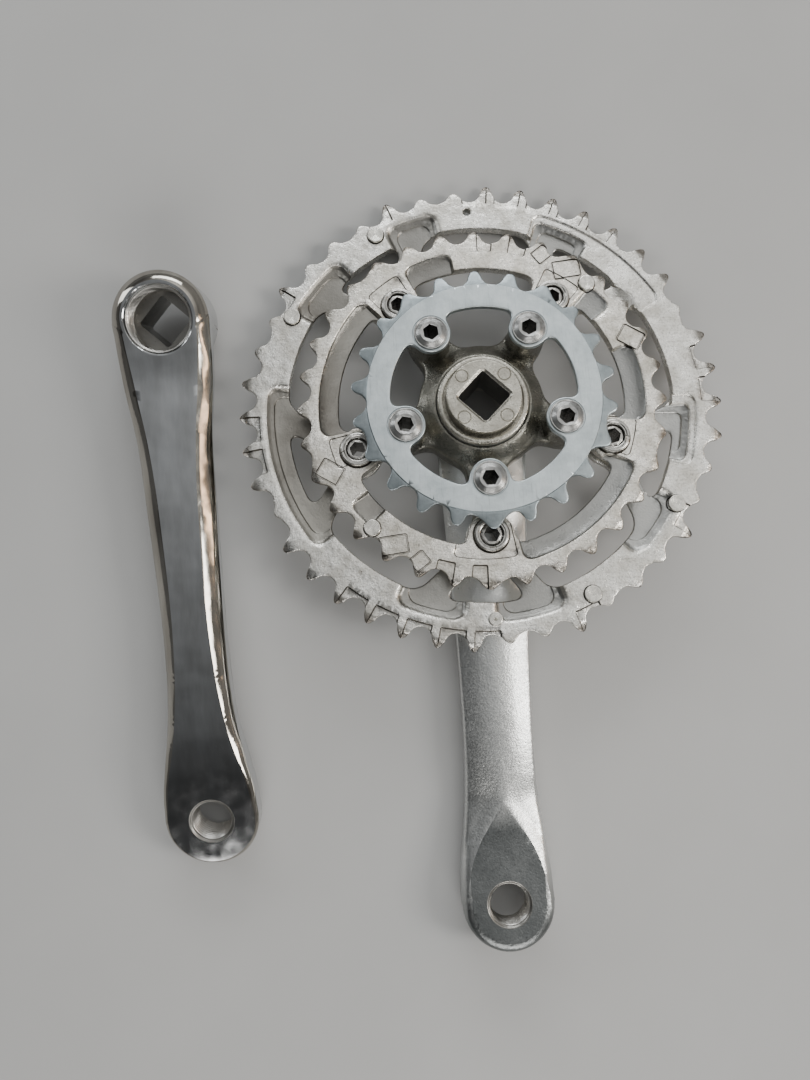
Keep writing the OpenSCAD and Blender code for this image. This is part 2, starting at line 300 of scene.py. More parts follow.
def relief(name, area, field, top, bottom, cell=0.4, bands=(0.12, 0.3, 0.6), cuts=(), fill=2.0, sharp=42):
    """A closed solid over the area where field is below zero, between two height functions.

    The mesh has lines along the outline, along each band inside it and along both edges of each
    cut's wall, so steps and rounded edges stay crisp.
    """
    x0, x1, y0, y1 = area
    xs = np.arange(x0, x1 + cell, cell) + GRID_SHIFT[0]
    ys = np.arange(y0, y1 + cell, cell) + GRID_SHIFT[1]
    gx, gy = np.meshgrid(xs, ys)
    values = field(gx, gy)
    points, edges = [], []

    def add(lines):
        pts, segs = lines
        if len(segs):
            middle = pts[segs].mean(1)
            segs = segs[field(middle[:, 0], middle[:, 1]) < 0.15]
            used, index = np.unique(segs, return_inverse=True)
            edges.append(index.reshape(-1, 2) + sum(map(len, points)))
            points.append(pts[used])

    for level in (0, *bands):
        add(level_lines(xs, ys, values, -level))
    for cut in cuts:
        sampled = cut.field(gx, gy)
        for level in cut.levels:
            add(level_lines(xs, ys, sampled, level))
    fx, fy = np.meshgrid(np.arange(x0, x1, fill), np.arange(y0, y1, fill))
    inner = field(fx, fy) < -max(bands) - 0.3 * fill
    points.append(np.column_stack([fx[inner], fy[inner]]))

    flat = np.vstack(points)
    found = delaunay_2d_cdt([Vector(p) for p in flat.tolist()], np.vstack(edges).tolist(), [], 0, 1e-3)
    at = np.array([tuple(p) for p in found[0]])
    tris = np.array(found[2])
    centre = at[tris].mean(1)
    tris = tris[field(centre[:, 0], centre[:, 1]) < 0]
    used, tris = np.unique(tris, return_inverse=True)
    at, tris = at[used], tris.reshape(-1, 3)
    cross = np.cross(at[tris[:, 1]] - at[tris[:, 0]], at[tris[:, 2]] - at[tris[:, 0]])
    tris[cross < 0] = tris[cross < 0][:, ::-1]

    x, y = at[:, 0], at[:, 1]
    depth = np.maximum(-field(x, y), 0)
    lower = bottom(x, y, depth)
    upper = np.maximum(top(x, y, depth), lower + THINNEST)
    co = np.vstack([np.column_stack([x, y, upper]), np.column_stack([x, y, lower])])
    n = len(at)
    sides = np.vstack([tris[:, [0, 1]], tris[:, [1, 2]], tris[:, [2, 0]]])
    key = np.sort(sides, 1)
    _, first, count = np.unique(key, axis=0, return_index=True, return_counts=True)
    rim = sides[first[count == 1]]
    walls = np.column_stack([rim[:, 0], rim[:, 0] + n, rim[:, 1] + n, rim[:, 1]])
    faces = tris.tolist() + (tris[:, ::-1] + n).tolist() + walls.tolist()
    return mesh_piece(name, co, faces, sharp)


def mesh_piece(name, co, faces, sharp_degrees):
    mesh = bpy.data.meshes.new(name)
    mesh.from_pydata((np.asarray(co) * MM).tolist(), [], faces)
    mesh.validate()
    mesh.polygons.foreach_set("use_smooth", [True] * len(mesh.polygons))
    mesh.set_sharp_from_angle(angle=math.radians(sharp_degrees))
    piece = bpy.data.objects.new(name, mesh)
    bpy.context.scene.collection.objects.link(piece)
    return piece


def stands_for(piece, node, body, material):
    piece.data.materials.append(material)
    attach(piece, body)
    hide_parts(node)


def paint(piece, material, test):
    """Gives another material to the faces that pass a test of centre x, y, z and upward facing."""
    faces = piece.data.polygons
    centre, normal, index = np.zeros(3 * len(faces)), np.zeros(3 * len(faces)), np.zeros(len(faces), int)
    faces.foreach_get("center", centre)
    faces.foreach_get("normal", normal)
    faces.foreach_get("material_index", index)
    x, y, z = centre.reshape(-1, 3).T / MM
    index[test(x, y, z, normal.reshape(-1, 3)[:, 2])] = len(piece.data.materials)
    piece.data.materials.append(material)
    faces.foreach_set("material_index", index)


def among(cuts, hit, lowest, highest=2.0):
    """Test for the faces that one of some cuts hits and whose upward facing is within limits."""
    def test(x, y, z, facing):
        found = np.zeros(len(x), bool)
        for cut in cuts:
            found |= hit(cut, x, y)
        return found & (facing > lowest) & (facing < highest)
    return test


def sunk_in(cuts, depth):
    """Test for the upward faces of some cuts that lie deeper than this."""
    return among(cuts, lambda cut, x, y: (cut.field(x, y) < 0) & (cut.drop(x, y) > depth), 0.3)


def grooves_of(grooves):
    """Test for the insides of some grooves."""
    return among(grooves, lambda cut, x, y: np.abs(cut.field(x, y)) < cut.half_w, -0.1)


def walls_of(cuts):
    """Test for the steep walls along the outlines of some cuts, which get painted shade."""
    def near_edge(cut, x, y):
        return np.abs(cut.field(x, y)) < max(map(abs, cut.levels)) + 0.02
    return among(cuts, near_edge, -0.1, 0.8)


# ---- Materials ----

class Graph:
    """Short calls for building one node material, or the world."""

    def __init__(self, name, world=False):
        self.block = (bpy.data.worlds if world else bpy.data.materials).new(name)
        self.block.use_nodes = True
        self.tree = self.block.node_tree
        self.shader = self.tree.nodes["Background" if world else "Principled BSDF"]
        self.where = self.node("ShaderNodeTexCoord").outputs["Generated" if world else "Object"]

    def node(self, kind, **values):
        made = self.tree.nodes.new(kind)
        for key, value in values.items():
            setattr(made, key, value)
        return made

    def link(self, source, target):
        self.tree.links.new(source, target)

    def noise(self, per_metre, detail, stretch=None, rough=0.55):
        """Noise with a number of cells a metre. stretch scales its axes."""
        where = self.where
        if stretch:
            mapping = self.node("ShaderNodeMapping")
            mapping.inputs["Scale"].default_value = stretch
            self.link(where, mapping.inputs["Vector"])
            where = mapping.outputs["Vector"]
        made = self.node("ShaderNodeTexNoise")
        made.inputs["Scale"].default_value = per_metre
        made.inputs["Detail"].default_value = detail
        made.inputs["Roughness"].default_value = rough
        self.link(where, made.inputs["Vector"])
        return made.outputs["Fac"]

    def ramp(self, source, low, high, from_value=0.0, to_value=1.0):
        """source between low and high, mapped to from_value and to_value, and held past them."""
        made = self.node("ShaderNodeMapRange")
        values = {"From Min": low, "From Max": high, "To Min": from_value, "To Max": to_value}
        for key, value in values.items():
            made.inputs[key].default_value = value
        self.link(source, made.inputs["Value"])
        return made.outputs["Result"]

    def distance_from_axis(self):
        flat = self.node("ShaderNodeVectorMath", operation="MULTIPLY")
        self.link(self.where, flat.inputs[0])
        flat.inputs[1].default_value = (1, 1, 0)
        made = self.node("ShaderNodeVectorMath", operation="LENGTH")
        self.link(flat.outputs["Vector"], made.inputs[0])
        return made.outputs["Value"]

    def colours(self, factor, first, second):
        made = self.node("ShaderNodeMix", data_type="RGBA")
        self.link(factor, made.inputs["Factor"])
        for socket, value in ((made.inputs["A"], first), (made.inputs["B"], second)):
            if isinstance(value, tuple):
                socket.default_value = (*value, 1)
            else:
                self.link(value, socket)
        return made.outputs["Result"]

    def math(self, operation, a, b):
        made = self.node("ShaderNodeMath", operation=operation)
        for socket, value in zip(made.inputs, (a, b)):
            if isinstance(value, (int, float)):
                socket.default_value = value
            else:
                self.link(value, socket)
        return made.outputs["Value"]

    def bump(self, height, distance, under=None):
        made = self.node("ShaderNodeBump")
        made.inputs["Distance"].default_value = distance
        made.inputs["Strength"].default_value = 1.0
        self.link(height, made.inputs["Height"])
        if under is not None:
            self.link(under, made.inputs["Normal"])
        return made.outputs["Normal"]

    def metal(self, colour, roughness, normal):
        self.shader.inputs["Metallic"].default_value = 1.0
        self.link(colour, self.shader.inputs["Base Color"])
        self.link(roughness, self.shader.inputs["Roughness"])
        self.link(normal, self.shader.inputs["Normal"])
        return self.block


def worn_alloy(name, light, dark, grime_and_shade, tip_r=100):
    """Anodised ring alloy: fine grain, soft blotches, dirt on the tooth tips, painted shade in the low
    corners.
    """
    g = Graph(name)
    blotch = g.ramp(g.noise(110, 6, rough=0.65), 0.36, 0.64)
    grain = g.noise(1900, 3)
    colour = g.colours(blotch, light, dark)
    specks = g.ramp(g.noise(1250, 6, rough=0.8), 0.50, 0.68, 0.0, 0.65)
    colour = g.colours(specks, colour, grime_and_shade)
    scratches = g.ramp(g.noise(300, 4, stretch=(0.3, 8.0, 1.0), rough=0.7), 0.58, 0.70, 0.0, 0.45)
    colour = g.colours(scratches, colour, grime_and_shade)
    near_tips, at_tips = (tip_r - 6) * MM, (tip_r + 0.5) * MM
    toward_tip = g.ramp(g.distance_from_axis(), near_tips, at_tips, -0.35, 0.45)
    dirt = g.ramp(g.math("ADD", toward_tip, g.noise(260, 4)), 0.42, 0.85, 0.0, 0.8)
    colour = g.colours(dirt, colour, grime_and_shade)
    # Painted shade: creases and low corners, where Pointiness is low, darken toward the dark colour.
    edge = g.node("ShaderNodeNewGeometry").outputs["Pointiness"]
    colour = g.colours(g.ramp(edge, 0.36, 0.492, 1.0, 0.0), colour, grime_and_shade)
    rough = g.math("ADD", g.ramp(grain, 0.3, 0.7, 0.18, 0.32), g.ramp(blotch, 0.0, 1.0, 0.0, 0.12))
    normal = g.bump(grain, 0.00012)
    normal = g.bump(g.noise(300, 3), 0.00026, normal)
    return g.metal(colour, rough, normal)


def plated_steel(name, light, dark):
    """Zinc-plated pressed steel: cool, even and satin, with faint rolling marks and painted shade in its
    creases.
    """
    g = Graph(name)
    haze = g.ramp(g.noise(150, 6, rough=0.7), 0.36, 0.66)
    colour = g.colours(haze, light, dark)
    streaks = g.ramp(g.noise(260, 4, stretch=(9.0, 0.4, 1.0), rough=0.7), 0.56, 0.70, 0.0, 0.4)
    colour = g.colours(streaks, colour, tuple(0.55 * c for c in dark))
    # Painted shade: creases, where Pointiness is low, darken toward near black.
    edge = g.node("ShaderNodeNewGeometry").outputs["Pointiness"]
    colour = g.colours(g.ramp(edge, 0.40, 0.485, 0.7, 0.0), colour, (0.10, 0.10, 0.10))
    marks = g.noise(700, 3, stretch=(0.25, 3.0, 1.0))
    rough = g.ramp(marks, 0.3, 0.7, 0.30, 0.42)
    return g.metal(colour, rough, g.bump(g.noise(1800, 2), 0.00003))


def satin_alloy(name, light, dark, fade=None):
    """Blasted forging. fade: an axis, two lengths along it and the colour reached at the second, a painted
    change of shade.
    """
    g = Graph(name)
    cloud = g.ramp(g.noise(45, 5), 0.35, 0.68)
    grain = g.noise(1500, 3)
    colour = g.colours(cloud, light, dark)
    if fade:
        split = g.node("ShaderNodeSeparateXYZ")
        g.link(g.where, split.inputs["Vector"])
        axis, start, end, reached = fade
        colour = g.colours(g.ramp(split.outputs[axis], start * MM, end * MM), colour, reached)
    rough = g.ramp(grain, 0.3, 0.7, 0.27, 0.42)
    normal = g.bump(grain, 0.00009)
    return g.metal(colour, rough, g.bump(g.noise(160, 3), 0.0002, normal))


def polished_alloy(name, colour, smear):
    """Buffed alloy: near mirror, with a faint ripple and smears along the arm."""
    g = Graph(name)
    streaks = g.noise(60, 4, stretch=(3.0, 0.6, 1.0))
    tone = g.colours(g.ramp(streaks, 0.35, 0.7), colour, smear)
    rough = g.ramp(g.noise(180, 5), 0.35, 0.75, 0.07, 0.16)
    return g.metal(tone, rough, g.bump(g.noise(55, 2), 0.00025))


def turned_steel(name, colour, rings_per_metre, smoothest=0.18):
    """Turned steel: fine rings round the piece's own axis, with a little tarnish."""
    g = Graph(name)
    wave = g.node("ShaderNodeTexWave", wave_type="RINGS", rings_direction="Z")
    wave.inputs["Scale"].default_value = rings_per_metre
    wave.inputs["Distortion"].default_value = 0.6
    g.link(g.where, wave.inputs["Vector"])
    tarnish = g.ramp(g.noise(700, 4), 0.4, 0.75)
    tone = g.colours(tarnish, colour, tuple(c * 0.62 for c in colour))
    rough = g.ramp(wave.outputs["Fac"], 0.0, 1.0, smoothest, smoothest + 0.12)
    return g.metal(tone, rough, g.bump(wave.outputs["Fac"], 0.00003))


OUTER_ALLOY = worn_alloy("outer_ring_alloy", (0.95, 0.94, 0.90), (0.60, 0.58, 0.53), (0.14, 0.12, 0.10), 87)
MIDDLE_ALLOY = worn_alloy("middle_ring_alloy", (0.93, 0.90, 0.84), (0.58, 0.55, 0.48),
                          (0.12, 0.10, 0.08), 65.5)
SMALL_STEEL = plated_steel("plated_steel_ring", (0.60, 0.655, 0.67), (0.45, 0.50, 0.515))
# A darker copy of the inner ring's steel: painted shade on the thinner, sloping teeth.
SHADED_TOOTH_STEEL = plated_steel("plated_steel_teeth_painted_shade", (0.40, 0.45, 0.47), (0.28, 0.32, 0.335))
SATIN_ARM = satin_alloy("satin_arm", (0.80, 0.81, 0.80), (0.62, 0.63, 0.62))
SPIDER_ALLOY = worn_alloy("cast_spider", (0.32, 0.31, 0.275), (0.18, 0.175, 0.15), (0.06, 0.06, 0.05))
POLISHED_ARM = polished_alloy("polished_arm", (0.56, 0.57, 0.58), (0.42, 0.425, 0.425))
# A darker copy of the polished arm alloy: painted shade on the left arm's side facets.
SHADED_FACET_ALLOY = polished_alloy("facet_alloy_painted_shade", (0.44, 0.42, 0.38), (0.28, 0.26, 0.23))
# Painted shade in the sunk bowls: darker than the face, darkest toward -X and lighter toward +X.
SHADED_SUNK_ALLOY = satin_alloy("sunk_alloy_painted_shade", (0.27, 0.26, 0.235), (0.14, 0.13, 0.115),
                         ("X", -60, 50, (0.42, 0.42, 0.405)))
# Painted shade on the drive arm's eye pad: dark, turning light toward the arch's point.
SHADED_EYE_ALLOY = satin_alloy("eye_alloy_painted_shade", (0.24, 0.25, 0.25), (0.16, 0.17, 0.17),
                        ("Y", -150, -138, (0.66, 0.67, 0.66)))
# Distances along the arm between which the painted shade on the eye's rim gives way to a lighter tone
RIM_FADE = (182, 158)
# Painted shade on the drive arm's eye rim: darkest at the eye's end, lighter toward the spindle.
SHADED_RIM_ALLOY = satin_alloy("rim_alloy_painted_shade", (0.28, 0.29, 0.29), (0.18, 0.19, 0.19),
                        ("Y", -RIM_FADE[0], -RIM_FADE[1], (0.72, 0.73, 0.72)))
BOSS_ALLOY = worn_alloy("boss_alloy", (0.62, 0.60, 0.53), (0.40, 0.38, 0.33), (0.12, 0.11, 0.09))
# Painted shade for steep walls, grooves, spot faces and sockets: a near-black worn alloy.
RECESS_SHADE = worn_alloy("grime_and_shade", (0.10, 0.09, 0.075), (0.05, 0.045, 0.04), (0.03, 0.03, 0.03))
# Machined finish, painted darker for the shade inside the bores, seats and holes.
SHADED_MACHINED_ALLOY = satin_alloy("machined_alloy_painted_shade", (0.34, 0.33, 0.31), (0.22, 0.215, 0.20))
THREAD_ALLOY = satin_alloy("thread_alloy", (0.62, 0.61, 0.58), (0.45, 0.44, 0.42))
BOLT_STEEL = turned_steel("ring_bolt_steel", (0.58, 0.57, 0.54), 900)
SMALL_BOLT_STEEL = turned_steel("inner_bolt_steel", (0.46, 0.46, 0.45), 900, 0.26)
PIN_STEEL = turned_steel("pin_steel", (0.78, 0.76, 0.70), 700)


# ---- Chainrings ----

# How far below its roller seats a tooth's flanks start
TOOTH_ROOT = 3


def toothed(x, y, teeth, first_angle, tips, tip_half_w=0.75):
    """Field of a chainring's toothed edge. tips holds each tooth's tip radius."""
    pitch_r = PITCH / 2 / math.sin(math.pi / teeth)
    seat_r = pitch_r - ROLLER_R
    step = 2 * math.pi / teeth
    r = np.hypot(x, y)
    turn = np.arctan2(y, x) - math.radians(first_angle)
    number = np.round(turn / step)
    u, v = r * np.cos(turn - number * step), np.abs(r * np.sin(turn - number * step))
    tip = tips[number.astype(int) % teeth]
    foot = seat_r - TOOTH_ROOT
    slope = (PITCH / 2 - tip_half_w) / (tip - foot)
    flank = (v - tip_half_w - (tip - u) * slope) / np.sqrt(1 + slope * slope)
    tooth = overlap(flank, u - tip, 0.9)
    seat = ROLLER_R - np.hypot(u - pitch_r * math.cos(step / 2), v - pitch_r * math.sin(step / 2))
    return overlap(joined(tooth, r - seat_r - 0.6, 0.5), seat, 0.3)


BIG_TEETH, MIDDLE_TEETH, SMALL_TEETH = 42, 32, 22
BIG_FIRST, MIDDLE_FIRST, SMALL_FIRST = -1.0, 10.1, 8.7
BIG_TIP_R, MIDDLE_TIP_R, SMALL_TIP_R = 87.1, 65.7, 46.0
BIG_RIM_R, MIDDLE_RIM_R, SMALL_RIM_R = 69.7, 50.9, 32.3
BIG_STEP_R, MIDDLE_STEP_R = 79.8, 60
# Where the teeth start to thin toward their tips
BIG_BEVEL_R, MIDDLE_BEVEL_R, SMALL_ROOT_R = 83.4, 63.4, 40.6
# The shallow channel round the outer ring's underside
CHANNEL_R = (71.6, 77.5)
# Angles from a bolt to the feet of its tab's two legs
LEG_SPREAD = (-20, 14.6)

# Teeth cut short where the chain changes ring; each has a twin half a turn away
BIG_SHORT_TEETH = {3: 83.2, 11: 84.6, 12: 84.6, 14: 83.6, 15: 84.8, 16: 84.5, 18: 84.2, 19: 85.2}
# Teeth with a sunk corner beside them, for the rising chain
BIG_RAMP_TEETH = [0, 1, 6, 7, 8, 9, 10, 13, 17]
# Riveted pins as (radius, angle)
BIG_PINS = [(77, 116.7), (77, 150), (77, 296.5), (77, 330)]
MIDDLE_PINS = [(59, 46.5), (59, 226)]


def big_tips():
    tips = np.full(BIG_TEETH, BIG_TIP_R)
    for k, r in BIG_SHORT_TEETH.items():
        tips[[k, k + BIG_TEETH // 2]] = r
    return tips


def big_field(x, y):
    r = np.hypot(x, y)
    rim = np.maximum(toothed(x, y, BIG_TEETH, BIG_FIRST, big_tips()), BIG_RIM_R - r)
    web = np.full_like(x, 1e3)
    for angle in ARM_ANGLES:
        foot = polar(BOLT_CIRCLE_R, angle)
        web = np.minimum(web, disc(x, y, foot, 8.4))
        for spread in LEG_SPREAD:
            web = joined(web, capsule(x, y, foot, polar(BIG_RIM_R + 3, angle + spread), 4), 3)
    body = drilled(joined(rim, web, 5), x, y, BOLT_CIRCLE_R, SLEEVE_R + 0.05)
    return np.maximum(body, -disc(x, y, polar(76.5, 90), 1.45))


def pin_seat(spot, head_r):
    """The groove round a riveted head, which gets painted shade."""
    return Groove(lambda x, y: disc(x, y, polar(*spot), head_r + 0.12), 0.4, 0.16, 0.14)


def sunk_corner(tooth):
    """The sunk corner beside a tooth that lifts the chain."""
    start = BIG_FIRST + tooth * 360 / BIG_TEETH
    return Cut(lambda x, y: bent_box(x, y, BIG_STEP_R, 90, start, start + 6.4, 0.3), 0.8, 0.46)


BIG_BOWLS = [
    Bowl(54.5, 70.5, 75.8, 0.30, 0.7, 2.2, 1.0), Bowl(99.3, 113.7, 77.6, 0.34, 1.0, 3.4, 2.4),
    Bowl(129.5, 148.5, 77.6, 0.34, 1.0, 4.0, 2.6), Bowl(170.5, 218, 77.2, 0.30, 0.9, 3.6, 2.7),
    Bowl(243, 262, 76.6, 0.34, 1.0, 4.2, 2.4), Bowl(270.5, 289.5, 76.8, 0.34, 1.0, 3.6, 2.4),
    Bowl(312.5, 331.5, 76.6, 0.34, 1.0, 4.6, 3.0), Bowl(342, 358.5, 75.2, 0.30, 0.6, 2.4, 1.0),
]
BIG_CORNERS = [sunk_corner(k + half) for k in BIG_RAMP_TEETH for half in (0, BIG_TEETH // 2)]
BIG_SEATS = [pin_seat(spot, BIG_PIN_R) for spot in BIG_PINS]
BIG_LEDGES = [bowl.ledge() for bowl in BIG_BOWLS]
BIG_CUTS = BIG_BOWLS + BIG_LEDGES + BIG_CORNERS + BIG_SEATS + [
    Bowl(29, 71.5, 78.4, 0, 0.5, wall=0.8), Bowl(341, 361, 77.4, 0, 0.6, wall=0.9),
    Cut(lambda x, y: disc(x, y, polar(73.2, 231), 0.6), 0.4, 0.3),
]


def big_top(x, y, depth):
    r = np.hypot(x, y)
    z = carved(x, y, np.full_like(x, BIG_FACE_Z), BIG_CUTS)
    z -= smooth((r - BIG_BEVEL_R) / 3.2)
    low = mix(SPIDER_PAD_Z - 0.02, 10.9, smooth((r - 55) / 8))
    z = np.minimum(z, mix(low, 20, smooth((r - BIG_RIM_R + 1.2) / 3.4)))
    return z - rolled(depth, 0.45)


def big_bottom(x, y, depth):
    r = np.hypot(x, y)
    z = mix(BIG_BODY_Z, BIG_FACE_Z - TOOTH_T, smooth((r - BIG_STEP_R) / 0.25 + 0.5))
    z = z + 0.3 * smooth((r - CHANNEL_R[0]) / 0.3) * smooth((CHANNEL_R[1] - r) / 0.3)
    return z + 0.5 * smooth((r - BIG_BEVEL_R) / 3.2) + rolled(depth, 0.35)


BIG_STEPS = [ring_cut(r, 0.3) for r in (BIG_STEP_R, CHANNEL_R[0] + 0.15, CHANNEL_R[1] - 0.15)]

big_ring = relief(
    "outer_chainring", (-88.5, 88.5, -88.5, 88.5), big_field, big_top, big_bottom,
    cell=0.47, bands=(0.1, 0.28, 0.5), cuts=BIG_CUTS + BIG_STEPS, fill=2.2,
)
stands_for(big_ring, "big_chainring", "drive_side", OUTER_ALLOY)
# Painted shade on the floors of the outer ring's sunk bowls.
paint(big_ring, SHADED_SUNK_ALLOY, sunk_in(BIG_BOWLS, 0.35))
# Painted shade on the walls of the sunk tooth corners.
paint(big_ring, RECESS_SHADE, walls_of(BIG_CORNERS))
# Painted shade in the grooves round the outer ring's riveted pins.
paint(big_ring, RECESS_SHADE, grooves_of(BIG_SEATS))


def middle_field(x, y):
    r = np.hypot(x, y)
    tips = np.full(MIDDLE_TEETH, MIDDLE_TIP_R)
    ring = np.maximum(toothed(x, y, MIDDLE_TEETH, MIDDLE_FIRST, tips), MIDDLE_RIM_R - r)
    for angle in ARM_ANGLES:
        tab = capsule(x, y, polar(BOLT_CIRCLE_R, angle), polar(55, angle), 8)
        ring = joined(ring, tab, 5)
    return drilled(ring, x, y, BOLT_CIRCLE_R, SLEEVE_R + 0.05)


def outlined_ramp(centre, degrees, half_l, half_w):
    """A ramp pad: a groove round a rectangle."""
    return Groove(lambda x, y: turned_box(x, y, centre, degrees, half_l, half_w, 0.5), 0.5, 0.25)


def twins(x, y):
    """A point and the point half a turn away."""
    return [(x, y), (-x, -y)]


MIDDLE_BANDS = [
    Bowl(start, end, 57.8, 0.55, 0.5, 3.2, 0.9, 3.0, 46)
    for start, end in ((135, 189), (281, 335), (-9, 20), (98, 116))
] + [Bowl(start, start + 10, 59, 0.3, 0.4, 2.5, 1.4, 2.8, 45) for start in (35, 215)]
MIDDLE_MARKS = (
    [Cut(lambda x, y, r=r, s=s, e=e: bent_box(x, y, 40, r, s, e, 1.2), 0.3, 0.3)
     for r, s, e in ((57, 119, 132.5), (55.7, 190.5, 202), (54.5, 336.5, 351), (55.4, 256, 279),
                     (56, 47.5, 62))]
    + [Cut(lambda x, y, s=s, e=e: bent_box(x, y, 57.6, 70, s, e, 0.6), 0.7, 0.46)
       for s, e in ((71, 77), (83, 88), (251, 257), (263, 268))]
    + [outlined_ramp(c, 58, 3.3, 4.1) for c in twins(54.6, 21.7)]
    + [outlined_ramp(c, 6, 4.8, 3.2) for c in twins(33.8, 48.8)]
    + [outlined_ramp(c, -54, 2.6, 3.0) for c in twins(25.3, 54.9)]
)
MIDDLE_SPOTS = on_circle(BOLT_CIRCLE_R, 6.5, 0.4)
MIDDLE_SEATS = [pin_seat(spot, MIDDLE_PIN_R) for spot in MIDDLE_PINS]
MIDDLE_CUTS = MIDDLE_BANDS + MIDDLE_MARKS + MIDDLE_SPOTS + MIDDLE_SEATS


def middle_top(x, y, depth):
    z = carved(x, y, np.full_like(x, MIDDLE_FACE_Z), MIDDLE_CUTS)
    z -= 0.8 * smooth((np.hypot(x, y) - MIDDLE_BEVEL_R) / 2.2)
    return np.maximum(z, MIDDLE_BODY_Z + 0.7) - rolled(depth, 0.4)


def middle_bottom(x, y, depth):
    r = np.hypot(x, y)
    z = mix(MIDDLE_BODY_Z, MIDDLE_FACE_Z - TOOTH_T, smooth((r - MIDDLE_STEP_R) / 0.25 + 0.5))
    return z + rolled(depth, 0.35)


middle_ring = relief(
    "middle_chainring_body", (-67, 67, -67, 67), middle_field, middle_top, middle_bottom,
    cell=0.4, bands=(0.1, 0.25, 0.45), cuts=MIDDLE_CUTS + [ring_cut(MIDDLE_STEP_R, 0.3)], fill=2.0,
)
stands_for(middle_ring, "middle_chainring", "drive_side", MIDDLE_ALLOY)
# Painted shade on the floors of the middle ring's sunk bands.
paint(middle_ring, SHADED_SUNK_ALLOY, sunk_in(MIDDLE_BANDS, 0.1))
# Painted shade on the walls of the marks and ramp pads.
paint(middle_ring, RECESS_SHADE, walls_of(MIDDLE_MARKS))
# Painted shade on the sunk spot faces round the ring nuts.
paint(middle_ring, RECESS_SHADE, sunk_in(MIDDLE_SPOTS, 0.15))
# Painted shade in the grooves round the middle ring's riveted pins.
paint(middle_ring, RECESS_SHADE, grooves_of(MIDDLE_SEATS))


def small_field(x, y):
    r = np.hypot(x, y)
    tips = np.full(SMALL_TEETH, SMALL_TIP_R)
    ring = np.maximum(toothed(x, y, SMALL_TEETH, SMALL_FIRST, tips, 1.05), SMALL_RIM_R - r)
    for angle in ARM_ANGLES:
        tab = capsule(x, y, polar(SMALL_BOLT_CIRCLE_R, angle), polar(36, angle), 6.9)
        ring = joined(ring, tab, 4.5)
    return drilled(ring, x, y, SMALL_BOLT_CIRCLE_R, 4.1)


# The step down to the thinner teeth, and a seat round each bolt
SMALL_CUTS = [Cut(lambda x, y: SMALL_ROOT_R - np.hypot(x, y), 0.5, 0.3)]
SMALL_CUTS += on_circle(SMALL_BOLT_CIRCLE_R, 6.35, 0.25)


def small_top(x, y, depth):
    r = np.hypot(x, y)
    z = carved(x, y, np.full_like(x, SMALL_FACE_Z), SMALL_CUTS)
    z -= 0.75 * smooth((r - SMALL_ROOT_R) / 5.5)
    return z - rolled(depth, 0.4)


def small_bottom(x, y, depth):
    r = np.hypot(x, y)
    return SMALL_BODY_Z + 0.6 * smooth((r - SMALL_ROOT_R) / 5.5) + rolled(depth, 0.35)


small_ring = relief(
    "inner_chainring", (-47.5, 47.5, -47.5, 47.5), small_field, small_top, small_bottom,
    cell=0.33, bands=(0.1, 0.25, 0.45), cuts=SMALL_CUTS, fill=2.0,
)
stands_for(small_ring, "small_chainring", "drive_side", SMALL_STEEL)
# Painted shade: the teeth beyond the root step get the darker copy of the steel.
paint(small_ring, SHADED_TOOTH_STEEL, lambda x, y, z, facing: np.hypot(x, y) > SMALL_ROOT_R)


# ---- Spider ----

def spider_field(x, y):
    hub = np.hypot(x, y) - 22.5
    for angle in ARM_ANGLES:
        hub = joined(hub, capsule(x, y, (0, 0), polar(SMALL_BOLT_CIRCLE_R, angle), 6.4), 5)
        hub = joined(hub, capsule(x, y, (0, 0), polar(BOLT_CIRCLE_R, angle), 5.6), 3)
        hub = joined(hub, disc(x, y, polar(BOLT_CIRCLE_R, angle), 7.2), 3)
    hub = drilled(hub, x, y, BOLT_CIRCLE_R, SLEEVE_R + 0.05)
    hub = drilled(hub, x, y, SMALL_BOLT_CIRCLE_R, SHAFT_R + 0.1)
    return np.maximum(hub, BOSS_R - np.hypot(x, y))


def spider_top(x, y, depth):
    r = np.hypot(x, y)
    z = mix(21.4, 17.2, smooth((r - BOSS_R) / 6))
    z = mix(z, 16.0, smooth((r - 22) / 8))
    z = mix(z, MIDDLE_BODY_Z - 0.02, smooth((r - 33) / 5))
    for angle in ARM_ANGLES:
        post = disc(x, y, polar(SMALL_BOLT_CIRCLE_R, angle), SMALL_POST_R)
        z = mix(z, SMALL_BODY_Z - 0.02, smooth(0.5 - post / 1.6))
    return z - rolled(depth, 1.2)


def spider_bottom(x, y, depth):
    r = np.hypot(x, y)
    z = mix(8.2, 9.4, smooth((r - 20) / 12))
    z = mix(z, SPIDER_PAD_Z, smooth((r - 34) / 4))
    return z + rolled(depth, 0.8)


spider = relief(
    "spider_forging", (-56, 56, -56, 56), spider_field, spider_top, spider_bottom,
    cell=0.5, bands=(0.12, 0.35, 0.8, 1.2), fill=1.6,
    cuts=on_circle(SMALL_BOLT_CIRCLE_R, SMALL_POST_R, 0, 1.6),
)
stands_for(spider, "spider", "drive_side", SPIDER_ALLOY)


# ---- Crank arms ----

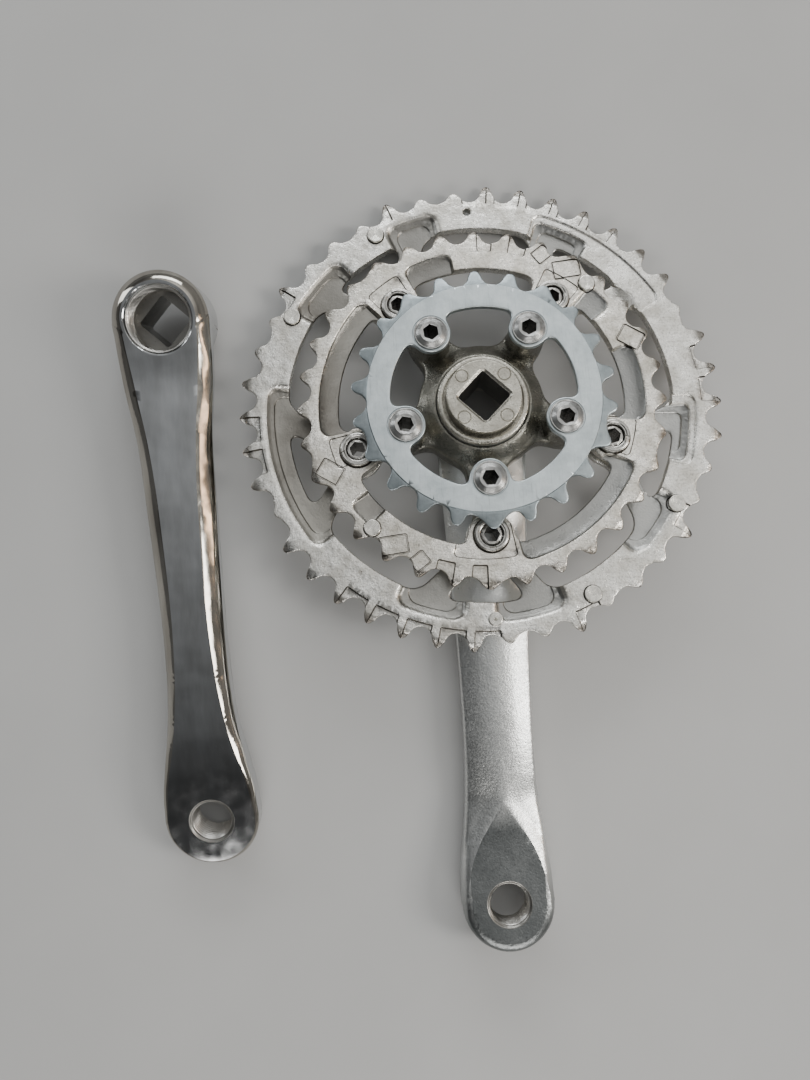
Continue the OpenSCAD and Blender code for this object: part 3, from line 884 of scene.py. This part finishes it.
class Arm:
    """Plan and section of a crank arm, along the distance from its spindle."""

    def __init__(self, waist, root_z):
        """waist: half width at the narrowest. root_z: inboard height beside the boss."""
        flare = [(114, 0.0), (130, 0.07), (143, 0.28), (154, 0.6), (166, 0.94), (175, 1.0), (200, 1.0)]
        self.half_w = curve([
            (-20, BOSS_FOOT_R), (0, BOSS_FOOT_R), (20, BOSS_R - 0.4), (40, waist + 2.6),
            (66, waist + 1.4), (90, waist + 0.5), *((at, mix(waist, EYE_R, part)) for at, part in flare),
        ])
        self.ridge_z = curve([
            (-20, root_z), (17, root_z), (30, mix(6.5, root_z, 0.55)), (44, 6.0), (60, 4.7), (90, 1.7),
            (115, -1.4), (135, -4.3), (146, -5.9), (156, -6.8), (166, EYE_IN_Z), (200, EYE_IN_Z),
        ])

    def outline(self, x, y):
        along = -y
        shank = np.abs(x) - self.half_w(along)
        shank = np.maximum(shank, np.maximum(-along, along - ARM_LENGTH))
        foot = np.hypot(x, y) - BOSS_FOOT_R
        eye = np.hypot(x, y + ARM_LENGTH) - EYE_R
        return joined(joined(shank, foot, 0.6), eye, 0.6)

    def field(self, x, y):
        body = np.maximum(self.outline(x, y), -square_taper(x, y))
        return np.maximum(body, PEDAL_R - np.hypot(x, y + ARM_LENGTH))

    def inside(self, x, y):
        """Distance in from the arm's outline."""
        return np.maximum(-self.outline(x, y), 0)

    def facet_w(self, along):
        """Width of the facet beside the outer flat face."""
        return np.maximum(self.half_w(along) - FLAT_HALF_W(along), 0.8)

    def outboard(self, x, y, depth):
        """Outer face: flat down the middle, with a broad facet on each side."""
        along = np.clip(-y, -14, 190)
        z = OUTER_FACE_Z(along)
        t = 1 - np.clip(self.inside(x, y) / self.facet_w(along), 0, 1)
        z = z + FACET_DEPTH(along) * (0.42 * t + 0.58 * t * t)
        spindle, pedal = np.hypot(x, y), np.hypot(x, y + ARM_LENGTH)
        z = z + 1.2 * within(spindle - EXTRACTOR_R, 0.55, 1.1)
        z = z + (EXTRACTOR_DEPTH - 0.9) * within(spindle, EXTRACTOR_R, STEEP)
        z = z + 0.5 * (1 - smooth((pedal - PEDAL_R) / HOLE_BEVEL_W))
        return np.where(spindle < EXTRACTOR_R + 1.2, np.maximum(z, 0), z)

    def inboard(self, x, y, depth):
        """Inner face: a soft ridge that flattens into the pedal eye's milled face."""
        along = np.clip(-y, -17, 190)
        z = self.ridge_z(along)
        beyond = np.maximum(np.abs(x) - ARCH_HALF_W(along), 0)
        z = z - beyond * beyond / (2 * INNER_CROWN_R)
        z = z - 0.34 * smooth((along - 118) / 45) * np.minimum(beyond, 5)
        z = z - rolled(self.inside(x, y), EDGE_R(along))
        pedal = np.hypot(x, y + ARM_LENGTH)
        z = z - 0.5 * (1 - smooth((pedal - PEDAL_R) / HOLE_BEVEL_W))
        return boss(x, y, z)


def boss(x, y, z):
    """The boss on an arm: a collar round a deep groove, and the machined disc that stands out of it."""
    r = np.hypot(x, y)
    collar = BOSS_HEIGHT - COLLAR_DROP - rolled(BOSS_R - r, 1.2)
    collar = collar - rolled(r - BOSS_GROOVE_R + 0.1, 0.5)
    z = mix(z, collar, within(r, BOSS_R, STEEP))
    z = mix(z, BOSS_HEIGHT - GROOVE_DROP, within(r, BOSS_GROOVE_R, STEEP))
    face = BOSS_HEIGHT - rolled(BOSS_DISC_R - r, 0.5)
    face = carved(x, y, face, MARKS)
    z = mix(z, face, within(r, BOSS_DISC_R, STEEP))
    lead_in = 1 - smooth(square_taper(x, y) / LEAD_IN_W)
    return z - LEAD_IN_DEPTH * lead_in * (r < BOSS_DISC_R)


def curve(stations):
    """Smooth curve through (distance, value) stations."""
    at = np.array([s[0] for s in stations], float)
    value = np.array([s[1] for s in stations], float)
    slope = np.gradient(value, at)

    def read(t):
        t = np.clip(t, at[0], at[-1])
        i = np.clip(np.searchsorted(at, t, side="right") - 1, 0, len(at) - 2)
        h = at[i + 1] - at[i]
        u = (t - at[i]) / h
        return (
            value[i] * (1 + 2 * u) * (1 - u) ** 2 + slope[i] * h * u * (1 - u) ** 2
            + value[i + 1] * u * u * (3 - 2 * u) + slope[i + 1] * h * u * u * (u - 1)
        )

    return read


# Radius of the crown across an arm's inboard face
INNER_CROWN_R = 26
# Width of the bevel round a pedal hole
HOLE_BEVEL_W = 0.8
# How far the boss's collar and groove lie below its disc
COLLAR_DROP, GROOVE_DROP = 4.2, 6
# The bevel round the mouth of the square hole
LEAD_IN_W, LEAD_IN_DEPTH = 0.9, 0.6
# How far inside its edge radius a rounded edge is painted and meshed
EDGE_INSET = 0.25
# Half width of the arched pad round the pedal hole, from its point to the eye
ARCH_HALF_W = curve([
    (-20, 0), (130, 0), (140, 0.3), (144, 2.8), (148, 5.4), (153, 8.6), (158, 11.0), (164, 13.0),
    (170, 14.2), (200, 14.4),
])
# Radius of an arm's inboard edges: wider round the pedal eye
EDGE_R = curve([(-20, 1.4), (140, 1.4), (152, 1.7), (164, 3.0), (200, 3.2)])

# How far a facet falls away at the arm's edge
FACET_DEPTH = curve([
    (-20, 3.6), (0, 3.6), (25, 3.6), (45, 4.6), (75, 4.8), (115, 4.6), (140, 3.4), (158, 1.8), (175, 1.3),
    (195, 1.3),
])
OUTER_FACE_Z = curve([
    (-20, 0), (10, 0), (20, -0.35), (32, -2.0), (60, -6.35), (100, -12.5), (128, -16.8), (137, -18.1),
    (KNEE_L, KNEE_Z + 0.35), (153, -19.75), (161, -20.02), (169, EYE_OUT_Z), (200, EYE_OUT_Z),
])
# Half width of an arm's outer flat face
FLAT_HALF_W = curve([
    (-20, 13.0), (0, 13.0), (25, 10.6), (40, 8.6), (57, 7.2), (73, 6.6), (112, 6.4), (130, 7.6),
    (147, 10.2), (160, 13.4), (175, 15.2), (195, 15.2),
])
DRIVE_ARM = Arm(12.4, 7.9)
LEFT_ARM = Arm(10.8, 13.0)

# Round steps of the boss and of the extractor bore, each with its wall's width
BOSS_RINGS = [ring_cut(r, STEEP) for r in (BOSS_R, BOSS_GROOVE_R, BOSS_DISC_R, EXTRACTOR_R)]
BOSS_RINGS += [ring_cut(EXTRACTOR_R + 0.55, 1.1), ring_cut(15.2, 1.2), ring_cut(12.7, 0.5)]
EYE_RING = Cut(lambda x, y: np.hypot(x, y + ARM_LENGTH) - PEDAL_R - HOLE_BEVEL_W / 2, 0, HOLE_BEVEL_W)
# Four punched rings on the boss's disc
MARKS = [
    Groove(lambda x, y, a=a: disc(x, y, polar(10.4, a), 2.2), 0.3, 0.14, 0.16) for a in (45, 135, 225, 315)
]


def facet_line(arm):
    """The edge between an arm's outer flat face and its side facets."""
    return crease(lambda x, y: arm.facet_w(np.clip(-y, -14, 190)) - arm.inside(x, y))


def edge_line(arm):
    """Where the rounded edge round the inboard face begins."""
    return crease(lambda x, y: EDGE_R(-y) - EDGE_INSET - arm.inside(x, y))


EYE_ARCH = crease(lambda x, y: np.abs(x) - ARCH_HALF_W(-y))


def arm_piece(name, arm):
    return relief(
        name, (-18, 18, -193, 18), arm.field, arm.inboard, arm.outboard,
        cell=0.45, bands=(0.1, 0.25, 0.5, 0.9, 1.4), fill=1.8, sharp=20,
        cuts=BOSS_RINGS + [EYE_RING] + MARKS + [facet_line(arm), EYE_ARCH, edge_line(arm)],
    )


def left_placement():
    """Where the left arm lies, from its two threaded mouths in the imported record."""
    mounts = {m["name"]: m for m in frame["record"]["mounts"]}
    spindle = Vector(mounts["left_extractor_thread"]["pos_m"]) / MM
    pedal = Vector(mounts["left_pedal_thread"]["pos_m"]) / MM
    outward = Vector(mounts["left_extractor_thread"]["axis"]).normalized()
    along = pedal - spindle
    along = (along - along.dot(outward) * outward).normalized()
    across = along.cross(outward)
    turn = Matrix((across, -along, -outward)).transposed().to_4x4()
    return Matrix.Translation(spindle * MM) @ turn


def machined(x, y, z, facing):
    """The holes of an arm: the extractor bore with its seat, the square and the pedal hole."""
    spindle_bore = (np.hypot(x, y) < EXTRACTOR_R + 0.2) & (z < BOSS_HEIGHT - 7)
    return spindle_bore | (np.hypot(x, y + ARM_LENGTH) < PEDAL_R + 0.9)


def cast_boss(x, y, z, facing):
    """The disc and collar on the inboard end of the boss."""
    return (np.hypot(x, y) < BOSS_R + 0.1) & (z > BOSS_HEIGHT - 7) & (facing > -0.1)


def on_eye_pad(x, y, z, facing):
    """The milled pad under the arch round the drive arm's pedal hole."""
    hole = np.hypot(x, y + ARM_LENGTH) < PEDAL_R + 0.9
    rim = DRIVE_ARM.inside(x, y) < EDGE_R(-y) - EDGE_INSET
    return (facing > 0.2) & (np.abs(x) < ARCH_HALF_W(-y)) & ~hole & ~rim


def on_eye_rim(x, y, z, facing):
    """The rounded edge and side of the drive arm's eye."""
    rim = DRIVE_ARM.inside(x, y) < EDGE_R(-y) - EDGE_INSET
    return rim & (-y > RIM_FADE[1]) & (facing > -0.2)


def on_facets(arm):
    """Test for the broad facets beside an arm's outer flat face."""
    line = facet_line(arm)

    def test(x, y, z, facing):
        beyond_bore = np.hypot(x, y) > EXTRACTOR_R + 1.3
        return (facing < -0.1) & (line.field(x, y) > 0.02) & beyond_bore
    return test


LEFT_PLACE = left_placement()
drive_arm = arm_piece("drive_arm_forging", DRIVE_ARM)
stands_for(drive_arm, "drive_crank_arm", "drive_side", SATIN_ARM)
# Painted shade inside the drive arm's holes and extractor seat.
paint(drive_arm, SHADED_MACHINED_ALLOY, machined)
paint(drive_arm, BOSS_ALLOY, cast_boss)
# Painted shade on the pad under the arch.
paint(drive_arm, SHADED_EYE_ALLOY, on_eye_pad)
# Painted shade on the eye's rounded edge and side.
paint(drive_arm, SHADED_RIM_ALLOY, on_eye_rim)
left_arm = arm_piece("left_arm_forging", LEFT_ARM)
stands_for(left_arm, "left_crank_arm", "left_arm", POLISHED_ARM)
# Painted shade inside the left arm's holes and extractor seat.
paint(left_arm, SHADED_MACHINED_ALLOY, machined)
# Painted shade on the side facets.
paint(left_arm, SHADED_FACET_ALLOY, on_facets(LEFT_ARM))
paint(left_arm, BOSS_ALLOY, cast_boss)
left_arm.data.transform(LEFT_PLACE)


# ---- Threads ----

def thread_sleeve(name, radius, depth, pitch, low, high, place, body):
    """A thin sleeve lining a threaded hole, with the helical ridges on its inside."""
    around, per_turn = 72, 8
    rows = int((high - low) / pitch * per_turn)
    theta = np.linspace(0, 2 * math.pi, around, endpoint=False)
    profile = []
    for z in np.linspace(low, high, rows + 1):
        phase = (z / pitch - theta / (2 * math.pi)) % 1
        ridge = 1 - np.abs(2 * phase - 1)
        fade = min(1, min(z - low, high - z) / (0.6 * pitch) + 0.15)
        profile.append((radius + 0.05 - depth * ridge * fade, z))
    profile += [(np.full(around, radius + 0.4), z) for z in (high, low)]
    co = np.vstack([
        np.column_stack([r * np.cos(theta), r * np.sin(theta), np.full(around, z)]) for r, z in profile
    ])
    faces = []
    for i in range(len(profile)):
        here, there = i * around, (i + 1) % len(profile) * around
        for j in range(around):
            k = (j + 1) % around
            faces.append((here + k, here + j, there + j, there + k))
    sleeve = mesh_piece(name, co, faces, 80)
    sleeve.data.materials.append(THREAD_ALLOY)
    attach(sleeve, body)
    sleeve.data.transform(place)


for side, body, slot, place in (
    ("drive", "drive_side", "satin_arm", Matrix.Identity(4)),
    ("left", "left_arm", "polished_arm", LEFT_PLACE),
):
    thread_sleeve(f"{side}_extractor_thread", EXTRACTOR_R, 0.55, 1.0, 1.0, EXTRACTOR_DEPTH - 0.9,
                  place, body)
    eye = place @ Matrix.Translation((0, -ARM_LENGTH * MM, 0))
    thread_sleeve(f"{side}_pedal_thread", PEDAL_R, 0.6, 1.27, EYE_OUT_Z + 0.7, EYE_IN_Z - 0.7,
                  eye, body)


# ---- Fasteners and pins ----

# Radius inside which a key socket's steep walls get painted shade
SOCKET_R = 3.1


def at_polar(radius, degrees):
    """Places a piece with its own axis at a point of the drive side, turned to face outward."""
    x, y = polar(radius, degrees)
    return Matrix.Translation((x * MM, y * MM, 0)) @ Matrix.Rotation(math.radians(degrees), 4, "Z")


def small_part(node, radius, field, top, bottom, spot, material, cuts=(), socket_r=0.0):
    """One fastener or pin, with painted shade on the steep walls inside socket_r."""
    edge = radius + 0.4
    piece = relief(
        node + "_body", (-edge, edge, -edge, edge), field, top, bottom,
        cell=0.2, bands=(0.06, 0.15, 0.3), cuts=cuts, fill=0.9,
    )
    stands_for(piece, node, "drive_side", material)
    # Painted shade on the steep walls of the socket or bore.
    paint(piece, RECESS_SHADE, lambda x, y, z, facing: (np.abs(facing) < 0.4) & (np.hypot(x, y) < socket_r))
    piece.matrix_basis = at_polar(*spot)


def ring_bolt(i):
    """Male bolt: domed head outboard, hexagon hole through."""
    def field(x, y):
        return np.maximum(np.hypot(x, y) - HEAD_R, -hexagon(x, y, HEX_KEY))

    def top(x, y, depth):
        r = np.hypot(x, y)
        shaft = BOLT_END_Z - rolled(SHAFT_R - 0.05 - r, 0.5)
        return mix(BIG_BODY_Z, shaft, within(r, SHAFT_R, SHARP))

    def bottom(x, y, depth):
        r = np.hypot(x, y)
        return BIG_BODY_Z - 2.4 + rolled(HEAD_R - r, 0.9) + 0.35 * smooth((3.6 - r) / 0.5)

    small_part(f"ring_bolt_{i + 1}", HEAD_R, field, top, bottom, (BOLT_CIRCLE_R, ARM_ANGLES[i]),
               BOLT_STEEL, [ring_cut(SHAFT_R), ring_cut(5.4, 0.8)], SOCKET_R)


def ring_nut(i):
    """Sleeve nut: flange inboard with a raised lip and two slots for a peg key."""
    flange_z = MIDDLE_FACE_Z - 0.4
    lip_r = 4.75

    def slot(x, y):
        return np.maximum(np.abs(y) - 1.1, 4.4 - np.abs(x))

    def field(x, y):
        r = np.hypot(x, y)
        return np.maximum(r - HEAD_R, SLEEVE_BORE_R - r)

    def top(x, y, depth):
        r = np.hypot(x, y)
        z = NUT_TOP_Z - rolled(HEAD_R - r, 0.6) - 0.35 * within(r, lip_r, 0.3)
        return z - 0.9 * smooth(0.5 - slot(x, y) / SHARP) - rolled(r - SLEEVE_BORE_R, 0.3)

    def bottom(x, y, depth):
        r = np.hypot(x, y)
        return mix(flange_z, BIG_BODY_Z + 0.6, within(r, SLEEVE_R, SHARP))

    small_part(f"ring_nut_{i + 1}", HEAD_R, field, top, bottom, (BOLT_CIRCLE_R, ARM_ANGLES[i]),
               BOLT_STEEL,
               [ring_cut(SLEEVE_R), ring_cut(lip_r, 0.3), ring_cut(5.7, 0.5), Cut(slot, 0, SHARP)],
               SLEEVE_BORE_R + 0.3)


def small_ring_bolt(i):
    """Inner ring's bolt: a thin flange, a turned cone and a hexagon hole."""
    def field(x, y):
        return np.maximum(np.hypot(x, y) - SMALL_HEAD_R, -hexagon(x, y, HEX_KEY))

    def top(x, y, depth):
        r = np.hypot(x, y)
        flange = SMALL_FACE_Z + 0.62 - 0.3 * smooth((5.55 - r) / 0.3)
        cone = SMALL_FACE_Z + 0.45 + 0.95 * np.clip((5.25 - r) / 1.5, 0, 1)
        z = np.where(r > 5.3, flange, np.maximum(cone, SMALL_FACE_Z + 0.32))
        return z - rolled(SMALL_HEAD_R - r, 0.25) - 0.25 * smooth((3.5 - r) / 0.5)

    def bottom(x, y, depth):
        return mix(SMALL_FACE_Z, 15, within(np.hypot(x, y), SHAFT_R, SHARP))

    small_part(f"small_ring_bolt_{i + 1}", SMALL_HEAD_R, field, top, bottom,
               (SMALL_BOLT_CIRCLE_R, ARM_ANGLES[i]), SMALL_BOLT_STEEL,
               [ring_cut(SHAFT_R), ring_cut(5.3), ring_cut(5.4, 0.3), ring_cut(3.65, 0.3)], SOCKET_R)


def riveted_pin(node, spot, low_z, face_z, head_r, head_h, stem_r=1.9):
    """Rivet: a low flat head with a rolled edge, slightly dished where it was struck."""
    def field(x, y):
        return np.hypot(x, y) - head_r

    def top(x, y, depth):
        r = np.hypot(x, y)
        struck = 0.08 * within(r, 0.5 * head_r, head_r)
        return face_z + head_h - rolled(head_r - r, 0.3) - struck

    def bottom(x, y, depth):
        return mix(face_z - 0.05, low_z, within(np.hypot(x, y), stem_r, SHARP))

    small_part(node, head_r, field, top, bottom, spot, PIN_STEEL,
               [ring_cut(stem_r), ring_cut(0.5 * head_r), ring_cut(head_r - 0.3)])


def drop_pin():
    """Peg between the outer ring and the arm; its riveted end shows inboard with a centre dot."""
    dot_r = 0.45

    def field(x, y):
        return np.hypot(x, y) - DROP_PIN_R

    def top(x, y, depth):
        r = np.hypot(x, y)
        head = BIG_FACE_Z + 0.5 - rolled(DROP_PIN_R - r, 0.45)
        return head - 0.5 * within(r, dot_r, 0.4)

    def bottom(x, y, depth):
        return 4.6 + rolled(DROP_PIN_R - np.hypot(x, y), 0.8)

    small_part("chain_drop_pin", DROP_PIN_R, field, top, bottom, (75.7, 270), PIN_STEEL,
               [ring_cut(dot_r, 0.4), ring_cut(2.2, 0.3)])


for i in range(5):
    ring_bolt(i)
    ring_nut(i)
    small_ring_bolt(i)
for i, spot in enumerate(BIG_PINS):
    riveted_pin(f"big_ring_shift_pin_{i + 1}", spot, BIG_BODY_Z, BIG_FACE_Z, BIG_PIN_R, BIG_PIN_H)
for i, spot in enumerate(MIDDLE_PINS):
    riveted_pin(f"middle_ring_shift_pin_{i + 1}", spot, MIDDLE_BODY_Z, MIDDLE_FACE_Z, MIDDLE_PIN_R,
                MIDDLE_PIN_H)
drop_pin()


# ---- Stage, light and camera ----

# Strengths of the ceiling panel, of the wall at its left and right, and of the rest of the room
PANEL_GLOW = 1.22
WALL_GLOW = (0.12, 0.24)
ROOM_GLOW = 0.03


def pale_floor():
    """The surface that the set lies on: it touches the drive arm's knee and its boss's far edge."""
    slope = math.atan2(-KNEE_Z, KNEE_L + BOSS_FOOT_R)
    half = 1.6
    mesh = bpy.data.meshes.new("floor")
    corners = [(-half, -half, 0), (half, -half, 0), (half, half, 0), (-half, half, 0)]
    mesh.from_pydata(corners, [], [(0, 1, 2, 3)])
    floor = bpy.data.objects.new("floor", mesh)
    bpy.context.scene.collection.objects.link(floor)
    floor.location = (0, -KNEE_L * MM, KNEE_Z * MM)
    floor.rotation_euler = (slope, 0, 0)
    g = Graph("pale_floor")
    tone = g.colours(g.ramp(g.noise(12, 4), 0.3, 0.7), (0.47, 0.47, 0.465), (0.44, 0.44, 0.435))
    g.link(tone, g.shader.inputs["Base Color"])
    g.shader.inputs["Roughness"].default_value = 0.75
    mesh.materials.append(g.block)


def softbox(name, position, target, size, watts, colour=(1, 1, 1)):
    light = bpy.data.lights.new(name, "AREA")
    light.shape = "RECTANGLE"
    light.size, light.size_y = size
    light.energy = watts
    light.color = colour
    lamp = bpy.data.objects.new(name, light)
    bpy.context.scene.collection.objects.link(lamp)
    lamp.location = position
    lamp.rotation_euler = (Vector(target) - Vector(position)).to_track_quat("-Z", "Y").to_euler()


def surroundings():
    """A dark room with a broad soft ceiling panel and a pale wall low down all round."""
    g = Graph("studio", world=True)
    bpy.context.scene.world = g.block
    toward_panel = g.node("ShaderNodeVectorMath", operation="DOT_PRODUCT")
    toward_panel.inputs[1].default_value = Vector((0.25, 0.34, 0.90)).normalized()
    g.link(g.where, toward_panel.inputs[0])
    angle = g.math("ARCCOSINE", toward_panel.outputs["Value"], 0)
    squared = g.math("POWER", angle, 2)
    core = g.math("EXPONENT", g.math("MULTIPLY", squared, -5.0), 0)
    halo = g.math("MULTIPLY", g.math("EXPONENT", g.math("MULTIPLY", squared, -1.9), 0), 0.35)
    panel = g.math("MULTIPLY", g.math("ADD", core, halo), PANEL_GLOW)
    split = g.node("ShaderNodeSeparateXYZ")
    g.link(g.where, split.inputs["Vector"])
    wall = g.ramp(split.outputs["Z"], 0.50, 0.26)
    wall = g.math("MULTIPLY", wall, g.ramp(split.outputs["X"], -1.0, 1.0, *WALL_GLOW))
    patches = g.ramp(g.noise(3.2, 2), 0.42, 0.62, 0.7, 1.5)
    room = g.math("MULTIPLY", patches, ROOM_GLOW)
    total = g.math("ADD", g.math("ADD", panel, wall), room)
    g.link(total, g.shader.inputs["Strength"])
    warm = g.colours(g.ramp(split.outputs["X"], -0.5, 0.8), (0.97, 0.99, 1.0), (1.0, 0.985, 0.95))
    g.link(warm, g.shader.inputs["Color"])


def camera():
    """The photograph's viewpoint: almost straight down, from the left arm's side."""
    data = bpy.data.cameras.new("camera")
    data.sensor_width = 36
    data.lens = 28.33
    data.clip_start, data.clip_end = 0.01, 20
    look = bpy.data.objects.new("camera", data)
    bpy.context.scene.collection.objects.link(look)
    back = -Vector((0.0048, 0.1533, -0.9882)).normalized()
    up = Vector((0.0545, 0.9867, 0.1534))
    right = up.cross(back).normalized()
    up = back.cross(right)
    turn = Matrix((right, up, back)).transposed().to_4x4()
    look.matrix_world = Matrix.Translation(Vector((-31.3, -92.1, 308.4)) * MM) @ turn
    bpy.context.scene.camera = look


pale_floor()
surroundings()
softbox("key", (0.78, -0.30, 0.66), (0.03, -0.10, 0), (0.28, 0.4), 5, (1.0, 0.98, 0.94))
softbox("left", (-0.85, 0.45, 0.36), (-0.05, -0.05, 0), (0.25, 0.6), 2, (0.95, 0.98, 1.0))
softbox("front", (0.05, -1.15, 0.62), (0, -0.05, 0), (0.9, 0.4), 7, (1.0, 0.98, 0.95))
softbox("strip", (0.80, -0.05, 0.36), (-0.10, -0.05, 0), (0.05, 0.5), 0.5, (1.0, 0.70, 0.48))
softbox("back", (0.0, 1.10, 0.70), (0, -0.05, 0), (0.9, 0.4), 7, (0.97, 0.99, 1.0))
camera()
